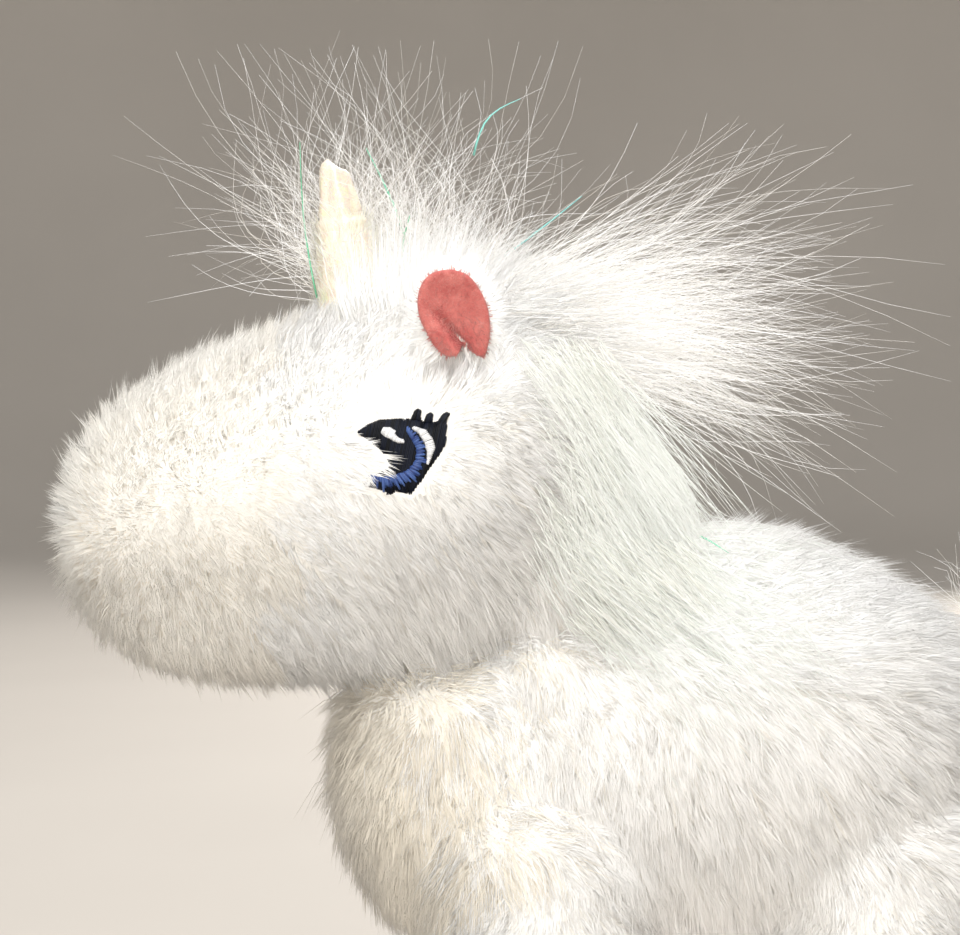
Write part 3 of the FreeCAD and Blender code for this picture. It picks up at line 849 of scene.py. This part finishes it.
def rounded(outline, grow=0.0, pieces=4):
    """A closed smooth line through an outline, optionally a little larger all round."""
    a, b, c, d = (np.roll(outline, -j, axis=0)[:, None] for j in (-1, 0, 1, 2))
    t = np.arange(pieces)[:, None] / pieces
    smooth = 2 * b + (c - a) * t + (2 * a - 5 * b + 4 * c - d) * t ** 2 + (3 * b - a - 3 * c + d) * t ** 3
    smooth = smooth.reshape(-1, 2) / 2
    return smooth + unit(smooth) * grow


def beside_line(u, v, start, end):
    """Signed distance from a line between two points, and how far along it the nearest place is."""
    du, dv = end[0] - start[0], end[1] - start[1]
    long = math.hypot(du, dv)
    t = ((u - start[0]) * du + (v - start[1]) * dv) / long ** 2
    return ((u - start[0]) * dv - (v - start[1]) * du) / long, t


def leaf(side, outline, depth, cup, name, shift, folded):
    """A closed leaf: outline in millimetres around the ear's middle, cupped towards its outer face."""
    sign, flare, rings = SIDES[side], math.radians(16.0), 17
    up = np.array([0, sign * math.sin(flare), math.cos(flare)])
    out = np.array([0, sign * math.cos(flare), -math.sin(flare)])
    s = np.linspace(0, 1, rings)[:, None]
    u, v = s * outline[:, 0], s * outline[:, 1]
    gap, t = beside_line(u, v, *EAR_FOLD)
    past, along = np.maximum(0.0, np.maximum(-t, t - 1.0)), np.clip(t, 0, 1)
    # painted shade along the crease of the fold, which the felt material reads as its fold attribute
    dark = folded * np.exp(-((gap - 0.1) / 0.95) ** 2 - (past / 0.3) ** 2) * (0.35 + 0.65 * along)
    reach = folded * np.exp(-((past / 0.35) ** 2)) * (0.25 + 0.75 * along)
    crease = reach * (np.exp(-((gap - 1.5) ** 2)) - 1.5 * np.exp(-((gap / 0.60) ** 2)))
    middle = EAR[side] + X * u[..., None] + up * v[..., None]
    edge = depth / 2 * np.sqrt(1 - s ** 6)
    faces = [middle + out * (cup * s ** 2 + crease + face * edge + shift)[..., None] for face in (1, -1)]
    grid = grid_faces(rings, len(outline))
    corners = np.concatenate([grid, grid + middle[..., 0].size])
    piece = raw_mesh(name, np.concatenate(faces).reshape(-1, 3), corners, np.full(len(corners) // 4, 4))
    note(piece, "fold", np.tile(dark.ravel(), 2))
    return closed(piece)


def closed(piece):
    """Joins points that lie on each other and turns all faces outwards."""
    work = bmesh.new()
    work.from_mesh(piece.data)
    bmesh.ops.remove_doubles(work, verts=work.verts, dist=0.02 * MM)
    bmesh.ops.dissolve_degenerate(work, dist=0.005 * MM, edges=work.edges)
    bmesh.ops.recalc_face_normals(work, faces=work.faces)
    work.to_mesh(piece.data)
    work.free()
    smooth_faces(piece.data)
    return piece


def ears():
    """Pink felt linings on plush backs, which stand out from the head."""
    for side, sign in SIDES.items():
        lining = leaf(side, rounded(EAR_OUTLINE), 1.1, 1.2, f"ear_felt_{side}", 0.2, 1.0)
        back = leaf(side, rounded(EAR_OUTLINE, -0.3), 1.9, 1.2, f"ear_plush_{side}", -1.2, 0.0)
        body = f"ear_{side}"
        finish_piece(lining, body, PINK_FELT)
        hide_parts(f"ear_lining_{side}")
        finish_piece(back, body, BACKING)
        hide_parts(f"ear_back_{side}")

        def outer(points, normals, sign=sign):
            return normals[:, 1] * sign > 0.25

        def inner(points, normals, sign=sign):
            return normals[:, 1] * sign < 0.3

        def comb(points, normals, side=side):
            return unit((points - EAR[side]) * (X + Z)) + Z * 0.4, 0.8, 1.0

        def outwards(points, side=side, sign=sign):
            return unit(unit((points - EAR[side]) * (X + Z)) * 0.5 + Y * sign * 0.7 + Z * 0.6)

        fuzz = dict(per_mm2=14.0, length=0.75, width=0.12, lift=0.6, tuft=0.5, material=PINK_FUZZ, stray=0.08)
        grow_pile(f"ear_fuzz_{side}", body, lining, comb, fuzz, 80 + int(sign), outer)
        white = dict(per_mm2=9.0, length=4.6, width=0.17, lift=0.55, tuft=1.2, facing=outwards, under=0.05)
        grow_pile(f"ear_pile_{side}", body, back, comb, white, 84 + int(sign), inner)


# ---- torso, neck and legs


def torso():
    """The body with shoulder, haunch, chest and withers bulges under its cloth."""
    nodes = ["torso_panel_left", "torso_panel_right", "crest_strip", "belly_gusset", "chest_gusset", "torso_stuffing"]
    chest = span("chest_gusset")[0]
    bulges = []
    for leg in LEGS:
        _, high, middle = span(f"leg_plush_{leg}")
        inward = -math.copysign(3.0, middle[1])
        bulges.append(ball_mesh((middle[0], middle[1] + inward, high[2] - 7.0), (19.5, 16.5, 17.0)))
    bulges.append(ball_mesh((chest[0] + 22.0, 0.0, 88.5), (22.0, 19.5, 15.5)))
    bulges.append(ball_mesh((NECK[0] + 6.5, 0.0, NECK[2] - 22.0), (23.0, 20.5, 16.0)))
    skin = plush("torso_plush", "torso", nodes, VOXEL, 12, bulges, ("pellet_pouch", "pellets"))
    spec = dict(per_mm2=5.4, length=7.6, width=0.18, lift=0.42, tuft=1.7, swirl=0.2)
    clear = outside_joints()
    rng = np.random.default_rng(25)

    def forward(points):
        edge = 5.0 * smooth_noise(points, 6.0, 8)[:, 0] + rng.normal(0, 7.0, len(points))
        return points[:, 0] + edge < chest[0] + 24.0

    # the front of the chest, where the pile with painted shade and bounce light grows
    def breast(points, normals):
        return clear(points) & forward(points) & (points[:, 0] < RUMP_START)

    def sides(points, normals):
        return clear(points) & ~forward(points) & (points[:, 0] < RUMP_START)

    def rump(points, normals):
        return clear(points) & (points[:, 0] >= RUMP_START)

    for name, material, seed, keep in (
        ("breast_pile", BREAST_SHADE_PILE, 23, breast),
        ("chest_pile", WHITE_PILE, 21, sides),
        ("rump_pile", WHITE_PILE, 22, rump),
    ):
        grow_pile(name, "torso", skin, torso_comb, {**spec, "material": material}, seed, keep)


def neck():
    """The ball on which the head nods, with its own pile."""
    skin = plush("neck_plush", "neck", ["neck_cover", "neck_stuffing"], VOXEL, 4)
    spec = dict(per_mm2=5.4, length=5.6, width=0.19, lift=0.50, tuft=1.6)
    grow_pile("neck_pile", "neck", skin, torso_comb, spec, 31)


# Radius and height of a hoof's rings, as shares of its own.
HOOF_PROFILE = [
    (0.0, 0.0), (0.55, 0.0), (0.90, 0.0), (0.955, 0.012), (0.985, 0.05), (0.975, 0.09), (0.995, 0.13), (1.0, 0.25),
    (0.99, 0.42), (0.965, 0.60), (0.935, 0.78), (0.915, 0.90), (0.90, 0.965), (0.87, 1.0), (0.82, 0.99), (0.80, 0.90),
]


def hoof(leg):
    """A felt boot: puffed wall, sewn sole edge with whip stitches, and a flat sole."""
    body = f"leg_{leg}"
    low, high, middle = span(f"hoof_wall_{leg}")
    radius, tall = (high[0] - low[0]) / 2, high[2] - low[2]
    rings, around = len(HOOF_PROFILE), 64
    share, height = np.array(HOOF_PROFILE).T[:, :, None]
    a = turns(around)
    soft = 1 + 0.008 * np.sin(3 * a + 2) + 0.006 * np.sin(7 * a + 5 * height)
    points = on_circles(middle, share * radius * np.where(height > 0.03, soft, 1.0), a, low[2] + height * tall)
    corners = np.concatenate([grid_faces(rings, around), np.arange(around) + (rings - 1) * around])
    sizes = np.array([4] * ((rings - 1) * around) + [around])
    piece = closed(raw_mesh(f"hoof_felt_{leg}", points.reshape(-1, 3), corners, sizes))
    finish_piece(piece, body, PINK_FELT)
    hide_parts(f"hoof_wall_{leg}", f"hoof_sole_{leg}")
    rng = np.random.default_rng(60)
    count, t = 52, np.linspace(0, 1, 6)
    a = (turns(count) + math.pi / count)[:, None] + 0.05 * t
    r = radius * (0.93 + 0.075 * np.sin(math.pi * t) + 0.045 * t)
    stitches = on_circles(middle, r, a, low[2] + tall * (0.012 + 0.145 * t))
    threads(f"hoof_seam_{leg}", body, stitches, 0.34, PINK_FUZZ, rng)

    def wall(points, normals):
        reach = np.hypot(points[:, 0] - middle[0], points[:, 1] - middle[1])
        return (points[:, 2] > low[2] + 1.0) & (reach > radius * 0.86)

    fuzz = dict(per_mm2=3.2, length=0.8, width=0.13, lift=0.6, tuft=0.6, material=PINK_FUZZ, stray=0.08)
    grow_pile(f"hoof_fuzz_{leg}", body, piece, down_comb, fuzz, 64, wall)


def legs():
    """Four plush tubes with their boots."""
    spec = dict(per_mm2=5.0, length=4.8, width=0.20, lift=0.48, tuft=1.6)
    for number, leg in enumerate(LEGS):
        nodes = [f"leg_plush_{leg}", f"leg_stuffing_{leg}"]
        skin = plush(f"leg_skin_{leg}", f"leg_{leg}", nodes, VOXEL, 6)
        top = span(f"hoof_wall_{leg}")[1][2]

        def above(points, normals, top=top):
            return points[:, 2] > top + 0.5

        grow_pile(f"leg_pile_{leg}", f"leg_{leg}", skin, down_comb, spec, 50 + number, above)
        hoof(leg)


# ---- forelock, mane and tail


def roots_on(surface, low, high, count, rng):
    """Points on the head below a patch given by its corners in x and y."""
    spots = []
    while len(spots) < count:
        x, y = rng.uniform(low[0], high[0]), rng.uniform(low[1], high[1])
        hit = surface.ray_cast(Vector((x, y, 250.0)) * MM, Vector((0, 0, -1)))[0]
        if hit is not None:
            spots.append(np.array(hit) / MM)
    return np.array(spots)


def forelock(surface):
    """Fine crinkled fibres that fan up and forward behind and beside the horn."""
    rng = np.random.default_rng(91)
    high = span("forelock_fibres")[1]
    top = high[2] - 158.0
    groups = (
        # x range of the roots, number, lean range, shortest and longest length, wave
        ((-47.0, -36.0), 660, (-0.52, 0.16), (0.45, 1.02), 0.17),
        ((-37.0, -26.0), 110, (0.02, 0.62), (0.50, 1.0), 0.17),
        ((-38.0, -22.0), 520, (-0.15, 0.75), (0.16, 0.46), 0.14),
    )
    lines = []
    for (start, stop), count, (lean_low, lean_high), (short, long), wave in groups:
        roots = roots_on(surface, (start, -8.0), (stop, 9.0), count, rng)
        horn_side = roots[:, 0] < -34.0
        roots[horn_side, 1] = np.abs(roots[horn_side, 1]) * 0.9 + 1.5
        share = (roots[:, 0] - start) / (stop - start)
        fan = lean_low + (lean_high - lean_low) * share + rng.normal(0, 0.22, count)
        aims = np.stack([fan, rng.normal(0.03, 0.25, count), np.ones(count)], axis=1)
        reach = top * (short + (long - short) * rng.random(count) ** 1.3)
        lines.append(paths(roots, aims, reach, rng, sag=0.04, wave=wave, steps=12, spread=0.16, hook=0.32))
    lines = lowered(np.concatenate(lines), high[2] + 9.0)
    locks("forelock_hair", "head", lines, 0.13, HAIR, rng, node="forelock_fibres")


def lowered(lines, ceiling):
    """Shrinks the lines that reach over a ceiling, about their roots."""
    root = lines[:, :1]
    rise = np.max(lines[:, :, 2], axis=1) - root[:, 0, 2]
    share = np.clip((ceiling - root[:, 0, 2]) / np.maximum(rise, 1e-6), 0.0, 1.0)
    return root + (lines - root) * share[:, None, None]


def mane(surface):
    """Long fibres from the crown, swept back and a little up: dense at the root, few of them at full length."""
    rng = np.random.default_rng(92)
    count = 2700
    roots = roots_on(surface, (-31.0, -13.0), (-8.0, 13.0), count, rng)
    high = span("mane_upper_fibres")[1]
    rise = np.interp(roots[:, 0], [-31.0, -8.0], [0.34, -0.22]) + rng.normal(0, 0.15, count)
    aims = np.stack([np.ones(count), -0.06 + rng.normal(0, 0.12, count), rise], axis=1)
    reach = np.clip(high[0] - 2.0 - roots[:, 0], 20, 64) * (0.24 + 0.78 * rng.random(count) ** 2.3)
    lines = paths(roots, aims, reach, rng, sag=0.05, wave=0.055, steps=12, spread=0.06, hook=0.15)
    lines = lowered(lines, HORN_HIGH[2] + 6.0)
    locks("mane_hair", "head", lines, 0.14, HAIR, rng, node="mane_upper_fibres")


def nape(surfaces):
    """Long smooth fibres from the back of the head, combed down over the neck."""
    rng = np.random.default_rng(97)
    count = 2600
    side = np.where(rng.random(count) < 0.55, -1.0, 1.0)
    turn = rng.uniform(0.0, 1.0, count) ** 0.8
    start = np.stack([rng.uniform(-20, -6, count), side * 24.0 * turn, rng.uniform(122, 153, count)], axis=1)
    down = rng.uniform(0.75, 1.5, count)
    aims = np.stack([np.ones(count) * 0.8, side * 0.12 * turn, -down], axis=1)
    reach = rng.uniform(20, 40, count) * np.interp(start[:, 2], [122, 153], [0.70, 1.05])
    lines = paths(start, aims, reach, rng, sag=0.05, wave=0.02, steps=11, spread=0.05, hook=0.05)
    lines = outside(lines, surfaces, rng.uniform(2.0, 5.4, count), skip=1)
    for piece in locks("nape_hair", None, lines, 0.17, MANE_HAIR, rng, 0.35):
        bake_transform(piece)


def shoulder_lock(surfaces):
    """The lower mane: long fibres that lie along the left shoulder and reach the back."""
    rng = np.random.default_rng(93)
    count = 1800
    start = np.stack([rng.uniform(-12, 8, count), rng.uniform(-27, 2, count), rng.uniform(108, 122, count)], axis=1)
    aims = np.stack([np.ones(count), 0.05 + rng.normal(0, 0.15, count), -rng.uniform(0.5, 1.3, count)], axis=1)
    reach = rng.uniform(16, 34, count)
    lines = paths(start, aims, reach, rng, sag=0.05, wave=0.03, steps=10, spread=0.05, hook=0.06)
    lines = outside(lines, surfaces, rng.uniform(1.5, 4.6, count), skip=0)
    locks("shoulder_hair", "torso", lines, 0.17, MANE_HAIR, rng, 0.35, "mane_lower_fibres")


def outside(lines, surfaces, lift, skip):
    """Lifts points of lines that lie inside a form to above it, by each line's own height over the skin."""
    count, steps, _ = lines.shape
    flat = lines.reshape(-1, 3)
    for _ in range(2):
        for surface in surfaces:
            for number, point in enumerate(flat):
                if number % steps < skip:
                    continue
                hit, normal = (np.array(found) for found in surface.find_nearest(Vector(point) * MM)[:2])
                missing = lift[number // steps] - (point - hit / MM) @ normal
                if missing > 0:
                    flat[number] = point + normal * missing
    lines = flat.reshape(count, steps, 3)
    smoothed = lines.copy()
    smoothed[:, 1:-1] = (lines[:, :-2] + 2 * lines[:, 1:-1] + lines[:, 2:]) / 4
    return smoothed


def tail():
    """A full tail: fibres follow an arch from the dock, spread, and fall to a thin end."""
    rng = np.random.default_rng(94)
    low = span("tail_fibres")[0]
    dock = span("tail_dock")[2]
    core = remeshed("tail_core", ["tail_dock"], 0.9, 4)
    finish_piece(core, "tail", BACKING)
    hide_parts("tail_dock")

    def comb(points, normals):
        return X + Z * 0.3, 1.0, 1.0

    spec = dict(per_mm2=5.0, length=4.5, width=0.28, lift=0.5, tuft=1.4)
    grow_pile("tail_pile", "tail", core, comb, spec, 95)
    count, t = 2600, np.linspace(0, 1, 12)[None, :]
    arch = [
        (dock[0] + 1.0, 0.0, dock[2] + 0.5), (66.8, 0.0, 100.4), (74.0, 0.0, 101.5), (80.6, 0.0, 94.0),
        (82.6, 0.0, 78.0), (80.8, 0.0, 62.0), (77.6, 0.0, low[2] + 1.0),
    ]
    start = rng.uniform(0, 0.12, count)[:, None]
    stop = rng.uniform(0.55, 1.0, count)[:, None]
    at = start + (stop - start) * t
    lines = places_on(arch, at)
    thick = np.interp(at, [0, 0.1, 0.3, 0.5, 0.75, 1.0], [2.2, 4.0, 8.0, 9.0, 7.5, 3.5])
    angle = rng.uniform(0, 2 * math.pi, count)[:, None] + rng.normal(0, 0.3, count)[:, None] * t
    reach = thick * np.sqrt(rng.random(count))[:, None]
    up = np.cross(unit(np.gradient(lines, axis=1)), Y)
    lines += Y * (reach * np.cos(angle))[..., None] + up * (reach * np.sin(angle))[..., None]
    lines += rng.normal(0, 1.6, (count, 1, 3)) * t[..., None] ** 2
    locks("tail_hair", "tail", lines, 0.24, HAIR, rng, 0.35, "tail_fibres")


def tail_wisps():
    """A few thin fibres that rise from the dock over the rump."""
    rng = np.random.default_rng(98)
    count = 46
    _, high, middle = span("tail_dock")
    x, y = rng.uniform(-1, 1, count) + middle[0], rng.uniform(-5, 5, count)
    roots = np.stack([x, y, np.full(count, high[2] - 1.0)], axis=1)
    aims = np.stack([np.full(count, -0.75), rng.normal(0, 0.25, count), rng.uniform(0.45, 0.95, count)], axis=1)
    lines = paths(roots, aims, rng.uniform(9, 19, count), rng, sag=0.02, wave=0.10, steps=9, spread=0.12, hook=0.2)
    fibres("tail_wisps", "tail", lines, 0.12, HAIR, rng)


def tinsel():
    """A few flat shiny green strips among the fibres, turning to blue from strip to strip as painted sheen for the
    shimmer that changes as the light falls.
    """
    rng = np.random.default_rng(96)
    spots = [
        ((-51.5, -4.0, 159.0), (-54.0, -6.0, 184.0)),
        ((-26.0, -4.0, 182.0), (-18.5, -5.0, 191.0)),
        ((-37.5, 2.0, 164.0), (-36.5, 1.0, 172.5)),
        ((10.0, -14.0, 121.0), (14.5, -15.5, 118.5)),
        ((-24.0, 6.0, 164.0), (-8.0, 8.0, 176.0)),
        ((-36.0, 8.0, 164.0), (-44.0, 9.0, 184.0)),
    ]
    start, end = np.array(spots).transpose(1, 0, 2)[:, :, None]
    t = np.linspace(0, 1, 8)[:, None]
    lines = start * (1 - t) + end * t + rng.normal(0, 0.8, (len(spots), 1, 3)) * np.sin(math.pi * t)
    fibres("tinsel_strips", "head", lines, 0.5, TINSEL, rng)


# ---- studio


def studio():
    """A pale floor that curves up all around, soft light from above and both sides, and the camera."""
    around = 96
    profile = [(0.22 * k, 0.0) for k in range(7)]
    profile += [(1.32 + 0.5 * math.sin(a), 0.5 * (1 - math.cos(a))) for a in np.linspace(0, math.pi / 2, 13)[1:]]
    profile += [(1.84, 0.9), (1.86, 1.4)]
    reach, height = np.array(profile).T[:, :, None]
    points = on_circles((0.0, 0.0), np.maximum(reach, 0.001) / MM, turns(around), height / MM - 0.05)
    corners = np.concatenate([grid_faces(len(profile), around), np.arange(around)])
    sizes = np.array([4] * ((len(profile) - 1) * around) + [around])
    floor = raw_mesh("floor", points.reshape(-1, 3), corners, sizes)
    paint = Paint("studio_floor", Roughness=0.85)
    paint.colour(paint.ramp(paint.noise(3.0), [(0.3, srgb((190, 183, 174))), (0.7, srgb((198, 191, 182)))]))
    floor.data.materials.append(paint.material)
    for name, place, aim, size, watts, colour in (
        ("key", (-0.02, -0.58, 0.90), (-0.01, 0.0, 0.12), 0.60, 8.2, (1.0, 0.995, 0.98)),
        ("top", (0.10, 0.25, 0.95), (0.0, 0.0, 0.12), 0.70, 3.0, (0.97, 0.985, 1.0)),
        ("fill", (-0.30, -0.98, 0.10), (-0.03, 0.0, 0.12), 0.90, 6.6, (1.0, 0.985, 0.955)),
        ("back", (0.3, 0.85, 0.45), (0.0, 0.0, 0.12), 0.70, 6.5, (1.0, 0.98, 0.96)),
    ):
        light = bpy.data.lights.new(name, "AREA")
        light.shape = "DISK"
        light.size = size
        light.energy = watts
        light.color = colour
        lamp = add_object(name, light)
        lamp.location = place
        lamp.rotation_euler = (Vector(aim) - Vector(place)).to_track_quat("-Z", "Y").to_euler()
    world = bpy.data.worlds.new("studio")
    world.use_nodes = True
    sky = world.node_tree.nodes["Background"].inputs
    sky["Color"].default_value = (0.95, 0.97, 1.0, 1.0)
    sky["Strength"].default_value = 0.46
    bpy.context.scene.world = world
    camera = add_object("camera", bpy.data.cameras.new("camera"))
    target, distance, rise = Vector((-0.025, -0.015, 0.1321)), 0.42, math.radians(3.5)
    camera.location = target + Vector((0.0, -distance * math.cos(rise), distance * math.sin(rise)))
    camera.rotation_euler = (target - camera.location).to_track_quat("-Z", "Y").to_euler()
    camera.data.sensor_width = 36.0
    camera.data.lens = 99.2
    camera.data.clip_start = 0.01
    bpy.context.scene.camera = camera
    bpy.context.scene.view_settings.view_transform = "Standard"


head_surface = head()
horn()
ears()
torso()
neck()
legs()
forelock(head_surface)
mane(head_surface)
skins = [surface_of(bpy.data.objects[name]) for name in ("head_plush", "neck_plush", "torso_plush")]
nape(skins)
shoulder_lock(skins[1:])
tail()
tail_wisps()
tinsel()
studio()
